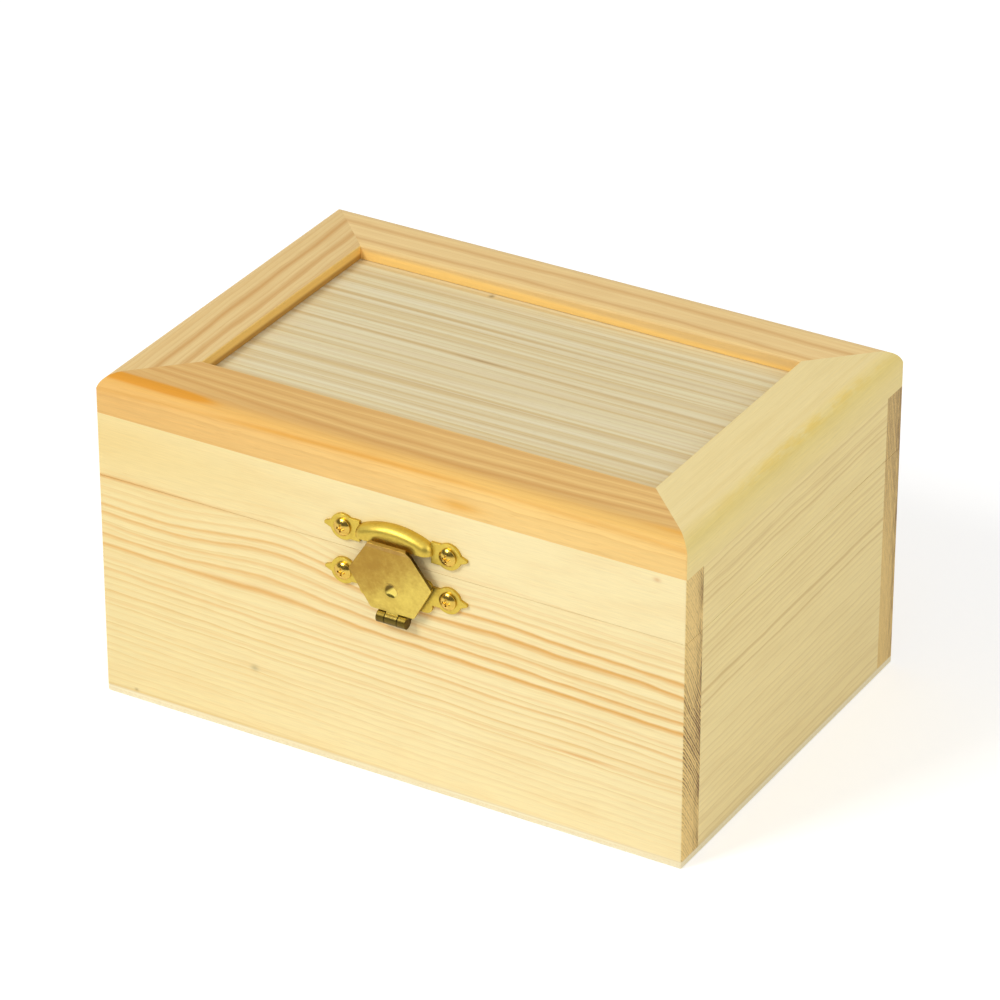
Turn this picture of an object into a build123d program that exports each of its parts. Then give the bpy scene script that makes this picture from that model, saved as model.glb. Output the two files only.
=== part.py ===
"""A small pine box for papers and keepsakes, with a framed lid on butt hinges and a brass catch.

Millimetres. X runs along the front, Y from front to back, Z up. The origin is the middle of the underside.
"""

import os
from math import radians, tan

from build123d import *

os.makedirs("parts", exist_ok=True)

# The box: plan, boards and seam
box_length = 150.0
box_depth = 102.0
wall = 7.5
bottom_thickness = 2.0
body_height = 56.7
lid_gap = 0.1
lid_wall_height = 15.8
corner_round = 0.5
bottom_ease = 0.4

# The lid's frame and panel
moulding_width = 17.4
moulding_height = 9.4
moulding_round = 4.5
inner_edge_round = 0.4
panel_recess = 3.4
panel_thickness = 3.0
groove_depth = 4.0
groove_slack = 0.1
panel_end_slack = 0.2

# The butt hinges at the back
hinge_length = 18.0
hinge_inset = 18.0
leaf_thickness = 0.9
leaf_margin = 1.5
leaf_corner = 0.6
knuckle_radius = 1.5
knuckle_standoff = 0.1
knuckle_count = 3
hinge_pin_radius = 0.7
hinge_screw_inset = 3.8

# The catch's two plates: pointed ears, the lid's hooded keeper and the body's base plate
catch_offset = 3.3
plate_thickness = 0.7
ear_spacing = 26.8
ear_radius = 3.2
ear_tip = 1.5
ear_tip_flat = 0.6
ear_tip_root = 4.4
keeper_rise = 5.1
keeper_neck = 5.2
hood_width = 19.6
hood_drop = 0.5
hood_shoulder = 1.6
hood_crown = 4.1
hood_proud = 2.8
hood_round = 2.2
hood_corner = 2.6
base_drop = 5.8
base_neck = 4.6
base_width = 18.6
base_rise = 3.4
base_fall = 4.6
base_corner = 1.6

# The catch's flap and its barrel
barrel_drop = 7.9
barrel_radius = 1.45
barrel_width = 7.4
barrel_middle = 3.4
catch_pin_radius = 0.6
flap_thickness = 0.8
flap_width = 21.2
flap_top_width = 9.4
flap_foot_width = 11.0
flap_corner = 0.8
flap_bend = 1.2
flap_overlap = 1.2
lip_height = 1.5
lip_flare = 0.7
dimple_rise = 7.4
dimple_radius = 1.9
dimple_depth = 0.6

# Screws
screw_radius = 0.8
screw_end_margin = 1.5
hinge_screw_length = 8.0
flat_head_angle = 90.0
round_head_radius = 2.1
round_head_height = 1.2
round_head_rim = 0.4
recess_width = 0.5
recess_length = 2.0
recess_depth = 0.5

# Fits
bore_clearance = 0.05
seat_clearance = 0.05
knuckle_gap = 0.15
flap_clearance = 0.3

# Heights and places worked out from the sizes above
front_face = -box_depth / 2
back_face = box_depth / 2
half_length = box_length / 2
body_wall_height = body_height - bottom_thickness
seam_top = body_height + lid_gap
moulding_base = seam_top + lid_wall_height
panel_top = moulding_base + moulding_height - panel_recess
leaf_reach = wall - leaf_margin
hinge_axis_y = back_face + knuckle_standoff + knuckle_radius
hinge_axis_z = body_height + lid_gap / 2
hinge_middle = half_length - hinge_inset - hinge_length / 2
keeper_z = seam_top + keeper_rise
base_z = body_height - base_drop
barrel_y = front_face - plate_thickness / 2 - barrel_radius
barrel_z = base_z - barrel_drop
catch_screw_depth = wall - screw_end_margin
hinge_screw_depth = hinge_screw_length - leaf_thickness
flat_head_radius = screw_radius + leaf_thickness * tan(radians(flat_head_angle / 2))
hinges = {"left": -hinge_middle, "right": hinge_middle}


def save(piece, label):
    """Names a finished piece and writes it to its own file."""
    piece.part.label = label
    export_step(piece.part, f"parts/{label}.step")


def front_plane(height, aside=0.0, proud=0.0):
    """A plane on the front, on the catch's centre line: x to the right, y up, z out of the box."""
    origin = (catch_offset + aside, front_face - proud, height)
    return Plane(origin=origin, x_dir=(1, 0, 0), z_dir=(0, -1, 0))


def across_plane(start_x, y, z):
    """A plane square to X, for what runs along X from start_x."""
    return Plane(origin=(start_x, y, z), x_dir=(0, 1, 0), z_dir=(1, 0, 0))


def ear_planes(height, proud=0.0):
    """Planes at the middles of a catch plate's two ears."""
    return [front_plane(height, side * ear_spacing / 2, proud) for side in (-1, 1)]


def leaf_planes(hinge_x, height, up):
    """Planes at the heads of one leaf's screws, on a face that looks up (1) or down (-1)."""
    screw_y = back_face - leaf_reach / 2
    places = [hinge_x + side * (hinge_length / 2 - hinge_screw_inset) for side in (-1, 1)]
    return [Plane(origin=(x, screw_y, height), x_dir=(1, 0, 0), z_dir=(0, 0, up)) for x in places]


body_leaf_planes = [plane for x in hinges.values() for plane in leaf_planes(x, body_height, 1)]
lid_leaf_planes = [plane for x in hinges.values() for plane in leaf_planes(x, seam_top, -1)]
body_gain_planes = [plane.offset(-leaf_thickness) for plane in body_leaf_planes]
lid_gain_planes = [plane.offset(-leaf_thickness) for plane in lid_leaf_planes]


# The long boards: the front and back of the body and of the lid, with pilot holes for their screws
def make_long_board(label, side, base, height, screw_planes, screw_depth, gain_plane=None):
    """A full-length board at the front (-1) or back (1). Hinges are let into the edge on a gain plane."""
    with BuildPart() as board:
        with BuildSketch(Plane(origin=(0, side * (box_depth - wall) / 2, base))):
            Rectangle(box_length, wall)
        extrude(amount=height)
        fillet(board.edges().filter_by(Axis.Z).group_by(Axis.Y)[0 if side < 0 else -1], corner_round)
        if gain_plane:
            gain_depth = leaf_reach + seat_clearance
            gain_middle = gain_plane.y_dir.Y * (back_face - gain_depth / 2)
            with BuildSketch(gain_plane):
                with Locations(*[(hinge_x, gain_middle) for hinge_x in hinges.values()]):
                    Rectangle(hinge_length + 2 * seat_clearance, gain_depth)
            extrude(amount=-leaf_thickness, mode=Mode.SUBTRACT)
        with Locations(*screw_planes):
            Hole(radius=screw_radius + seat_clearance, depth=screw_depth + seat_clearance)
    save(board, label)


body_rim = Plane(origin=(0, 0, body_height))
lid_rim = Plane(origin=(0, 0, seam_top), x_dir=(1, 0, 0), z_dir=(0, 0, -1))
body_board = (bottom_thickness, body_wall_height)
lid_board = (seam_top, lid_wall_height)
make_long_board("front_board", -1, *body_board, ear_planes(base_z), catch_screw_depth)
make_long_board("lid_front_strip", -1, *lid_board, ear_planes(keeper_z), catch_screw_depth)
make_long_board("back_board", 1, *body_board, body_gain_planes, hinge_screw_depth, body_rim)
make_long_board("lid_back_strip", 1, *lid_board, lid_gain_planes, hinge_screw_depth, lid_rim)


# The end boards, held between the front and the back
def make_end_board(label, side, base, height):
    """An end board on the left (-1) or right (1)."""
    with BuildPart() as board:
        with BuildSketch(Plane(origin=(side * (box_length - wall) / 2, 0, base))):
            Rectangle(wall, box_depth - 2 * wall)
        extrude(amount=height)
    save(board, label)


for end_name, end_side in (("left", -1), ("right", 1)):
    make_end_board(f"{end_name}_end_board", end_side, *body_board)
    make_end_board(f"lid_{end_name}_strip", end_side, *lid_board)

# The bottom, glued on from below and flush with the walls
with BuildPart() as bottom_panel:
    with BuildSketch():
        RectangleRounded(box_length, box_depth, corner_round)
    extrude(amount=bottom_thickness)
    chamfer(bottom_panel.edges().group_by(Axis.Z)[0], bottom_ease)
save(bottom_panel, "bottom_panel")


# The lid's frame: one moulded section, mitred round the four sides, with a groove for the panel
def make_moulding(label, corner, along, inward, side_length):
    """A mitred moulding that starts at an outer corner of the lid and runs along one side."""
    start = Vector(*corner, moulding_base)
    along = Vector(*along)
    inward = Vector(*inward)
    groove_floor = panel_top - panel_thickness - moulding_base
    groove_height = panel_thickness + groove_slack
    with BuildPart() as moulding:
        with BuildSketch(Plane(origin=start, x_dir=inward, z_dir=along)) as section:
            Rectangle(moulding_width, moulding_height, align=(Align.MIN, Align.MIN))
            fillet(section.vertices().group_by(Axis.Y)[-1].sort_by(Axis.X)[0], moulding_round)
            fillet(section.vertices().group_by(Axis.Y)[-1].sort_by(Axis.X)[-1], inner_edge_round)
            with Locations((moulding_width, groove_floor)):
                Rectangle(groove_depth, groove_height, align=(Align.MAX, Align.MIN), mode=Mode.SUBTRACT)
        extrude(amount=side_length)
        split(bisect_by=Plane(origin=start, z_dir=along - inward), keep=Keep.TOP)
        split(bisect_by=Plane(origin=start + along * side_length, z_dir=-along - inward), keep=Keep.TOP)
        with BuildSketch(Plane.XY.offset(moulding_base)):
            RectangleRounded(box_length, box_depth, corner_round)
        extrude(amount=moulding_height, mode=Mode.INTERSECT)
    save(moulding, label)


make_moulding("lid_front_moulding", (-half_length, front_face), (1, 0, 0), (0, 1, 0), box_length)
make_moulding("lid_right_moulding", (half_length, front_face), (0, 1, 0), (-1, 0, 0), box_depth)
make_moulding("lid_back_moulding", (half_length, back_face), (-1, 0, 0), (0, -1, 0), box_length)
make_moulding("lid_left_moulding", (-half_length, back_face), (0, -1, 0), (1, 0, 0), box_depth)

# The panel, held in the frame's groove
panel_inset = moulding_width - groove_depth + panel_end_slack
with BuildPart() as lid_panel:
    with BuildSketch(Plane.XY.offset(panel_top)):
        Rectangle(box_length - 2 * panel_inset, box_depth - 2 * panel_inset)
    extrude(amount=-panel_thickness)
save(lid_panel, "lid_panel")


# The butt hinges: two leaves whose knuckles take turns on one pin
def knuckle_starts(hinge_x, first):
    """Where every second knuckle of a hinge starts along X, from knuckle number first."""
    pitch = hinge_length / knuckle_count
    return [hinge_x - hinge_length / 2 + number * pitch for number in range(first, knuckle_count, 2)]


def make_leaf(label, hinge_x, face_height, up, first_knuckle):
    """A leaf whose face looks up (1) or down (-1), with every second knuckle from the first named."""
    plate_plane = Plane(origin=(hinge_x, back_face, face_height), x_dir=(1, 0, 0), z_dir=(0, 0, up))
    plate_depth = leaf_reach + knuckle_standoff + knuckle_radius
    knuckle_length = hinge_length / knuckle_count
    with BuildPart() as leaf:
        with BuildSketch(plate_plane) as plate:
            with Locations((0, up * (plate_depth / 2 - leaf_reach))):
                Rectangle(hinge_length, plate_depth)
            fillet(plate.vertices().group_by(Axis.Y)[0 if up > 0 else -1], leaf_corner)
        extrude(amount=-leaf_thickness)
        for start in knuckle_starts(hinge_x, first_knuckle):
            with BuildSketch(across_plane(start, hinge_axis_y, hinge_axis_z)):
                Circle(knuckle_radius)
            extrude(amount=knuckle_length)
        for start in knuckle_starts(hinge_x, 1 - first_knuckle):
            with BuildSketch(across_plane(start - knuckle_gap / 2, hinge_axis_y, hinge_axis_z)):
                Circle(knuckle_radius + knuckle_gap)
            extrude(amount=knuckle_length + knuckle_gap, mode=Mode.SUBTRACT)
        with BuildSketch(across_plane(hinge_x - hinge_length / 2, hinge_axis_y, hinge_axis_z)):
            Circle(hinge_pin_radius + bore_clearance)
        extrude(amount=hinge_length, mode=Mode.SUBTRACT)
        with Locations(*leaf_planes(hinge_x, face_height, up)):
            CounterSinkHole(
                radius=screw_radius,
                counter_sink_radius=flat_head_radius + seat_clearance,
                depth=2 * leaf_thickness,
                counter_sink_angle=flat_head_angle,
            )
    save(leaf, label)


def make_pin(label, middle_x, y, z, radius, length):
    """A hinge pin along X."""
    with BuildPart() as pin:
        with BuildSketch(across_plane(middle_x - length / 2, y, z)):
            Circle(radius)
        extrude(amount=length)
    save(pin, label)


for hinge_name, hinge_x in hinges.items():
    make_leaf(f"{hinge_name}_hinge_body_leaf", hinge_x, body_height, 1, 0)
    make_leaf(f"{hinge_name}_hinge_lid_leaf", hinge_x, seam_top, -1, 1)
    make_pin(f"{hinge_name}_hinge_pin", hinge_x, hinge_axis_y, hinge_axis_z, hinge_pin_radius, hinge_length)


# The screws: turned profiles with plain shanks and a cross recess, one group for each pair of plates
def make_screws(label, head_planes, round_head, length):
    """Screws with their heads seated on the planes: round heads stand up, flat heads are sunk."""
    head_top = round_head_height if round_head else 0.0
    head_rim = (round_head_radius, round_head_rim)
    with BuildPart() as screws:
        for plane in head_planes:
            with BuildSketch(Plane(origin=plane.origin, x_dir=plane.x_dir, z_dir=-plane.y_dir)):
                with BuildLine():
                    if round_head:
                        dome = TangentArc((0, head_top), head_rim, tangent=(1, 0))
                        neck = Polyline(dome @ 1, (round_head_radius, 0), (screw_radius, 0))
                    else:
                        neck = Polyline((0, 0), (flat_head_radius, 0), (screw_radius, -leaf_thickness))
                    Polyline(neck @ 1, (screw_radius, -length), (0, -length), (0, head_top))
                make_face()
            revolve(axis=Axis(plane.origin, plane.z_dir))
            with BuildSketch(plane.offset(head_top)):
                Rectangle(recess_length, recess_width)
                Rectangle(recess_width, recess_length)
            extrude(amount=-recess_depth, mode=Mode.SUBTRACT)
    save(screws, label)


make_screws("hinge_body_screws", body_leaf_planes, False, hinge_screw_length)
make_screws("hinge_lid_screws", lid_leaf_planes, False, hinge_screw_length)
catch_screw_length = plate_thickness + catch_screw_depth
make_screws("catch_keeper_screws", ear_planes(keeper_z, plate_thickness), True, catch_screw_length)
make_screws("catch_base_screws", ear_planes(base_z, plate_thickness), True, catch_screw_length)


# The catch's plates: a pair of pointed ears with a neck towards the middle
def make_ears(neck_height, neck_start):
    """The outline of both ears, on a plane whose origin is midway between their screws."""
    with BuildSketch() as ears:
        for side in (-1, 1):
            middle = side * ear_spacing / 2
            with Locations((middle, 0)):
                Circle(ear_radius)
            tip = middle + side * (ear_radius + ear_tip)
            with BuildLine():
                Polyline(
                    (middle, ear_tip_root / 2),
                    (tip, ear_tip_flat / 2),
                    (tip, -ear_tip_flat / 2),
                    (middle, -ear_tip_root / 2),
                    close=True,
                )
            make_face()
            with Locations(((middle + side * neck_start) / 2, 0)):
                Rectangle(ear_spacing / 2 - neck_start, neck_height)
    return ears.sketch


# The keeper's hood: a pressed form with an arched top, hollow and open below
def make_hood(inset):
    """The hood's outside, or its inside at an inset of one sheet's thickness."""
    half_width = hood_width / 2 - inset
    foot = -hood_drop - inset
    shoulder = hood_shoulder - inset
    with BuildPart() as hood:
        with BuildSketch(front_plane(keeper_z)) as outline:
            with BuildLine():
                sides = Polyline(
                    (half_width, shoulder),
                    (half_width, foot),
                    (-half_width, foot),
                    (-half_width, shoulder),
                )
                ThreePointArc(sides @ 1, (0, hood_crown - inset), sides @ 0)
            make_face()
            fillet(outline.vertices().group_by(Axis.Y)[-1], hood_corner - inset)
        extrude(amount=hood_proud - inset)
        front_edges = hood.faces().sort_by(Axis.Y)[0].edges().sort_by(Axis.Z)
        fillet(front_edges[1:], hood_round - inset)
    return hood.part


keeper_ears = make_ears(keeper_neck, hood_width / 2 - plate_thickness)
hood_outside = make_hood(0.0)
hood_inside = make_hood(plate_thickness)
with BuildPart() as catch_keeper:
    add(hood_outside)
    add(hood_inside, mode=Mode.SUBTRACT)
    with BuildSketch(front_plane(keeper_z)):
        add(keeper_ears)
    extrude(amount=plate_thickness)
    with Locations(*ear_planes(keeper_z, plate_thickness)):
        Hole(radius=screw_radius + seat_clearance, depth=2 * plate_thickness)
save(catch_keeper, "catch_keeper")

# The base plate, with two prongs that carry the outer parts of the barrel
prong_width = (barrel_width - barrel_middle) / 2
prong_middle = (barrel_width - prong_width) / 2
base_ears = make_ears(base_neck, base_width / 2 - base_corner)
with BuildPart() as catch_base_plate:
    with BuildSketch(front_plane(base_z)):
        with Locations((0, (base_rise - base_fall) / 2)):
            RectangleRounded(base_width, base_rise + base_fall, base_corner)
        add(base_ears)
        with Locations((-prong_middle, 0), (prong_middle, 0)):
            Rectangle(prong_width, barrel_drop, align=(Align.CENTER, Align.MAX))
    extrude(amount=plate_thickness)
    for prong_side in (-1, 1):
        prong_start = catch_offset + prong_side * prong_middle - prong_width / 2
        with BuildSketch(across_plane(prong_start, barrel_y, barrel_z)):
            Circle(barrel_radius)
            Circle(catch_pin_radius + bore_clearance, mode=Mode.SUBTRACT)
        extrude(amount=prong_width)
    with Locations(*ear_planes(base_z, plate_thickness)):
        Hole(radius=screw_radius + seat_clearance, depth=2 * plate_thickness)
save(catch_base_plate, "catch_base_plate")

# The flap: sheet bent to a lip at the top, cut six-sided, with a pressed dimple and its part of the barrel
flap_foot = barrel_z + barrel_radius + flap_clearance
flap_top = keeper_z - hood_drop + flap_overlap
flap_foot_y = barrel_y + flap_thickness / 2
lip_y = front_face - hood_proud - flap_clearance
flap_reach = hood_proud + flap_clearance + lip_flare + 2 * flap_thickness
barrel_tongue = barrel_middle - 2 * knuckle_gap
flap_lean = (lip_y - flap_foot_y) / (flap_top - lip_height - flap_foot)
dimple_z = barrel_z + dimple_rise
dimple_front_y = flap_foot_y + flap_lean * (dimple_z - flap_foot) - flap_thickness
dimple_ball = (dimple_radius**2 + dimple_depth**2) / (2 * dimple_depth)
dimple_middle = (catch_offset, dimple_front_y + dimple_depth - dimple_ball, dimple_z)
with BuildPart() as dimple_boss:
    with Locations(dimple_middle):
        Sphere(dimple_ball + flap_thickness)
    split(bisect_by=Plane((0, dimple_front_y + flap_thickness / 2, 0), z_dir=(0, 1, 0)))
with BuildPart() as catch_flap:
    with BuildSketch(across_plane(catch_offset - flap_width / 2, 0, 0)):
        with BuildLine():
            FilletPolyline(
                (flap_foot_y, flap_foot),
                (lip_y, flap_top - lip_height),
                (lip_y - lip_flare, flap_top),
                radius=flap_bend,
            )
            offset(amount=flap_thickness, side=Side.LEFT)
        make_face()
    extrude(amount=flap_width)
    with BuildSketch(front_plane(0)) as six_sides:
        with BuildLine():
            Polyline(
                (-flap_foot_width / 2, flap_foot),
                (flap_foot_width / 2, flap_foot),
                (flap_width / 2, (flap_foot + flap_top) / 2),
                (flap_top_width / 2, flap_top),
                (-flap_top_width / 2, flap_top),
                (-flap_width / 2, (flap_foot + flap_top) / 2),
                close=True,
            )
        make_face()
        fillet(six_sides.vertices(), flap_corner)
    extrude(amount=flap_reach, mode=Mode.INTERSECT)
    with BuildSketch(across_plane(catch_offset - barrel_tongue / 2, barrel_y, barrel_z)):
        Circle(barrel_radius)
        Rectangle(flap_thickness, flap_foot + flap_thickness - barrel_z, align=(Align.CENTER, Align.MIN))
        Circle(catch_pin_radius + bore_clearance, mode=Mode.SUBTRACT)
    extrude(amount=barrel_tongue)
    add(dimple_boss)
    with Locations(dimple_middle):
        Sphere(dimple_ball, mode=Mode.SUBTRACT)
save(catch_flap, "catch_flap")

make_pin("catch_pin", catch_offset, barrel_y, barrel_z, catch_pin_radius, barrel_width)
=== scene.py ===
# %% [markdown]
# A small pine box with a framed lid and a brass catch
#
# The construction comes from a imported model: every board, moulding, hinge leaf and screw is already a
# solid of the right size in the right place. This lesson dresses those solids and photographs them.
# Wood has to look right on every cut face, so its grain is worked out in three dimensions and shows
# wherever a saw has cut it.

# %% Load the frame
import math
from types import SimpleNamespace

import bpy
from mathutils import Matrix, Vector


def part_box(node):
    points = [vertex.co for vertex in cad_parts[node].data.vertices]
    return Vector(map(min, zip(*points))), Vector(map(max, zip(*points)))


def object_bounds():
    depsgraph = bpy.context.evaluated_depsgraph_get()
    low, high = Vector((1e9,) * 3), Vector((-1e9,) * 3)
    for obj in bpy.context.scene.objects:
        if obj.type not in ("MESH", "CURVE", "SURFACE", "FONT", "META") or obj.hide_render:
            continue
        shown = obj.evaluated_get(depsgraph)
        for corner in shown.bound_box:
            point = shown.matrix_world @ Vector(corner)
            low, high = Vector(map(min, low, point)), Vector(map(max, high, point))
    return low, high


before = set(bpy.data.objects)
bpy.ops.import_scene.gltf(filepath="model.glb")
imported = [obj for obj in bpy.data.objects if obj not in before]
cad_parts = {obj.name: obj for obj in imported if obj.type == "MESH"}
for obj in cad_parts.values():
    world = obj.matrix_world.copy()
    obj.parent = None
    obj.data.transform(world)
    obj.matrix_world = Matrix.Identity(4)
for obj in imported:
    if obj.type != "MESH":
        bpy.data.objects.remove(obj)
cad_low, cad_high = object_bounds()

# %% [markdown]
# The camera
#
# A product picture of a box is taken with a long lens from a little above, so that its edges stay
# nearly parallel. The camera could be placed by eye, but here it is given as a photographer would note
# it: how far round, how high, how many metres away, and which point of the box it is aimed at.

# %% Camera
camera_azimuth = math.radians(30.25)
camera_elevation = math.radians(29.14)
camera_distance = 1.1947
camera_target = Vector((-0.0015, 0.0019, 0.0452))
lens_length = 189.27
nearest_seen = 0.1


def direction(azimuth, elevation):
    """The unit vector from the box to a place that far round from the front and that high."""
    level = math.cos(elevation)
    return Vector((math.sin(azimuth) * level, -math.cos(azimuth) * level, math.sin(elevation)))


def aim(thing, towards, distance, target):
    """Stands a camera or lamp at a distance from its target and turns it to look there."""
    thing.location = target + towards * distance
    thing.rotation_euler = (-towards).to_track_quat("-Z", "Y").to_euler()
    bpy.context.scene.collection.objects.link(thing)


camera_data = bpy.data.cameras.new("camera")
camera_data.lens = lens_length
camera_data.clip_start = nearest_seen
camera = bpy.data.objects.new("camera", camera_data)
aim(camera, direction(camera_azimuth, camera_elevation), camera_distance, camera_target)
bpy.context.scene.camera = camera
bpy.context.scene.view_settings.view_transform = "Standard"
print("camera at", [round(value, 3) for value in camera.location])

# %% [markdown]
# Tones as a screen shows them
#
# Tones of pine and brass are easiest to compare on a screen, where each has three levels from 0 to 255.
# Blender reckons with linear light instead. Each colour could be picked in a colour field, but three
# levels can be read and changed in the script, so one function turns them into light.


# %% Tones
def as_light(tone):
    """A tone of three screen levels as linear light, by the sRGB curve. A socket stays as it is."""
    if not isinstance(tone, tuple):
        return tone
    shares = [level / 255 for level in tone]
    linear = [s / 12.92 if s <= 0.04045 else ((s + 0.055) / 1.055) ** 2.4 for s in shares]
    return (*linear, 1.0)


print("screen level 128 is", round(as_light((128, 128, 128))[0], 3), "of full light")

# %% [markdown]
# Node maths in plain Python
#
# A finish is a network of nodes. Placing each Math node by hand hides what is being worked out, so one
# small class wraps an output socket: adding or multiplying sockets adds the Math nodes. Every other
# node comes from the one method called node, which takes a type, its settings and its inputs.


# %% Socket class
class Socket:
    """An output socket of a node tree, or just the tree. Arithmetic on sockets adds Math nodes."""

    def __init__(self, tree, output=None):
        self.tree = tree
        self.output = output

    def node(self, kind, settings=None, inputs=None, output=0):
        """Adds a node: first its settings, then the values or links of its inputs."""
        made = self.tree.nodes.new(kind)
        for name, value in (settings or {}).items():
            if name == "stops":
                set_stops(made.color_ramp.elements, value)
            else:
                setattr(made, name, value)
        for name, value in (inputs or {}).items():
            if isinstance(value, Socket):
                self.tree.links.new(value.output, made.inputs[name])
            else:
                made.inputs[name].default_value = value
        return Socket(self.tree, made.outputs[output] if made.outputs else None)

    def beside(self, name):
        """Another output of the same node."""
        return Socket(self.tree, self.output.node.outputs[name])

    def math(self, operation, *values):
        return self.node("ShaderNodeMath", {"operation": operation}, dict(enumerate(values)))

    def at_most(self, limit):
        return self.math("MINIMUM", self, limit)

    def at_least(self, limit):
        return self.math("MAXIMUM", self, limit)

    def __add__(self, other):
        return self.math("ADD", self, other)

    def __sub__(self, other):
        return self.math("SUBTRACT", self, other)

    def __rsub__(self, other):
        return self.math("SUBTRACT", other, self)

    def __mul__(self, other):
        return self.math("MULTIPLY", self, other)

    def __truediv__(self, other):
        return self.math("DIVIDE", self, other)

    def __rtruediv__(self, other):
        return self.math("DIVIDE", other, self)

    def __pow__(self, other):
        return self.math("POWER", self, other)

    def __rpow__(self, other):
        return self.math("POWER", other, self)

    def __abs__(self):
        return self.math("ABSOLUTE", self)

    def __neg__(self):
        return self.math("MULTIPLY", self, -1.0)

    __radd__ = __add__
    __rmul__ = __mul__


def set_stops(elements, stops):
    """Gives a colour ramp its stops: pairs of a place from 0 to 1 and a tone or a grey share."""
    while len(elements) < len(stops):
        elements.new(1.0)
    for element, (place, tone) in zip(elements, stops):
        element.position = place
        element.color = as_light(tone) if isinstance(tone, tuple) else (tone, tone, tone, 1.0)


print("socket class ready")

# %% [markdown]
# Steps, bells, mixes and ramps
#
# Wood and brass have few hard edges: a stain fades out, a line swells and stops, one tone runs into the
# next. All that could be painted on a picture, but a picture fits only one face. These few shapes are
# worked out at every place instead. Places are in millimetres on the real box, so a number in a finish
# can be checked with a ruler.


# %% Soft shapes
def rise(value, low, high):
    """0 below low and 1 above high, with a soft step between them."""
    inputs = {"Value": value, "From Min": low, "From Max": high}
    return value.node("ShaderNodeMapRange", {"interpolation_type": "SMOOTHSTEP"}, inputs)


def bell(value, middle, width):
    """1 at the middle, falling away on both sides in a bell curve."""
    away = (value - middle) / width
    return math.e ** -(away * away)


def mix(factor, first, second, how="MIX"):
    """A mix of two tones or colour sockets, by a factor that may vary."""
    root = next(item for item in (factor, first, second) if isinstance(item, Socket))
    inputs = {0: factor, 6: as_light(first), 7: as_light(second)}
    return root.node("ShaderNodeMix", {"data_type": "RGBA", "blend_type": how}, inputs, 2)


def ramp(value, stops):
    """A tone or a grey share read off a ramp, whose stops are given in the value's own unit."""
    low, high = stops[0][0], stops[-1][0]
    placed = [((place - low) / (high - low), tone) for place, tone in stops]
    return value.node("ShaderNodeValToRGB", {"stops": placed}, {"Fac": (value - low) / (high - low)})


print("soft shapes ready")

# %% [markdown]
# Lines placed one by one, and noise
#
# The lines that one remembers of a board are few, and the rest of its grain is accident. Both could
# come from noise, but then one board would look like the next. So the remembered lines are listed, each
# with its place, strength and width, and noise is left for the accidents.

# %% Lines and noise
lines_per_ramp = 10


def bands(value, lines, fall=0.4):
    """Soft lines, each given as place, strength and width. A line rises over its width and stops
    within the share fall of it. A ramp holds 32 stops, enough for ten lines."""
    total = 0.0
    for start in range(0, len(lines), lines_per_ramp):
        stops = []
        for place, strength, width in lines[start : start + lines_per_ramp]:
            stops += [(place - width, 0.0), (place, strength), (place + fall * width, 0.0)]
        total = ramp(value, sorted(stops)) + total
    return total


def noise(along, height, depth, detail=2.0, roughness=0.5):
    """Soft noise from 0 to 1. Each coordinate comes divided by the length of a patch in millimetres,
    and a plain number in its place picks another slice of the noise."""
    root = next(item for item in (along, height, depth) if isinstance(item, Socket))
    place = root.node("ShaderNodeCombineXYZ", {}, {0: along, 1: height, 2: depth})
    inputs = {"Vector": place, "Scale": 1.0, "Detail": detail, "Roughness": roughness}
    return root.node("ShaderNodeTexNoise", {}, inputs)


print(lines_per_ramp, "lines go on a ramp")

# %% [markdown]
# The start and the end of a finish
#
# Every finish here begins with the place on the piece and ends with a surface that has a tone, a
# roughness and a fine relief. The pieces could be unwrapped and painted. Asking for the place in space
# needs no unwrapping, and the grain of two faces then meets at their common edge.

# %% Finish tools
mm_per_metre = 1000.0
bevel_samples = 6


def new_finish(name):
    """An empty material, with the place on the piece in millimetres as three sockets."""
    material = bpy.data.materials.new(name)
    material.use_nodes = True
    material.node_tree.nodes.clear()
    root = Socket(material.node_tree)
    place = root.node("ShaderNodeTexCoord", output="Object")
    inputs = {0: place, "Scale": mm_per_metre}
    scaled = root.node("ShaderNodeVectorMath", {"operation": "SCALE"}, inputs)
    x = root.node("ShaderNodeSeparateXYZ", {}, {0: scaled})
    return material, x, x.beside("Y"), x.beside("Z")


def close_finish(colour, roughness, relief, relief_depth, metallic=0.0, edge=0.0):
    """Ends a finish: the surface shader, its relief in millimetres, and edges that catch the light."""
    bump = {"Height": relief, "Distance": relief_depth / mm_per_metre, "Strength": 1.0}
    if edge:
        radius = {"Radius": edge / mm_per_metre}
        bump["Normal"] = colour.node("ShaderNodeBevel", {"samples": bevel_samples}, radius)
    inputs = {
        "Base Color": colour,
        "Roughness": roughness,
        "Metallic": metallic,
        "Normal": colour.node("ShaderNodeBump", {}, bump),
    }
    surface = colour.node("ShaderNodeBsdfPrincipled", {}, inputs)
    colour.node("ShaderNodeOutputMaterial", {}, {"Surface": surface})


def dress(material, *names):
    """Gives a finish to pieces of the frame by name."""
    for name in names:
        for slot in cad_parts[name].material_slots:
            slot.material = material
    print(material.name, "on", ", ".join(names))


slot_counts = {len(piece.material_slots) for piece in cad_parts.values()}
print("pieces carry", slot_counts, "material slot each")

# %% [markdown]
# Growth rings
#
# A pine board is cut out of a trunk, so its lines are slices of growth rings. A ring is pale spring
# wood that darkens slowly into a narrow orange line of late wood and stops short. A wave texture would
# draw them all alike. Here each ring is numbered, and its number draws its strength, so that some years
# nearly vanish.

# %% Growth rings
ring_unevenness = 0.8
ring_sharpness = 2.5
ring_stop = 0.86
weakest_ring = 0.25


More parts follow.
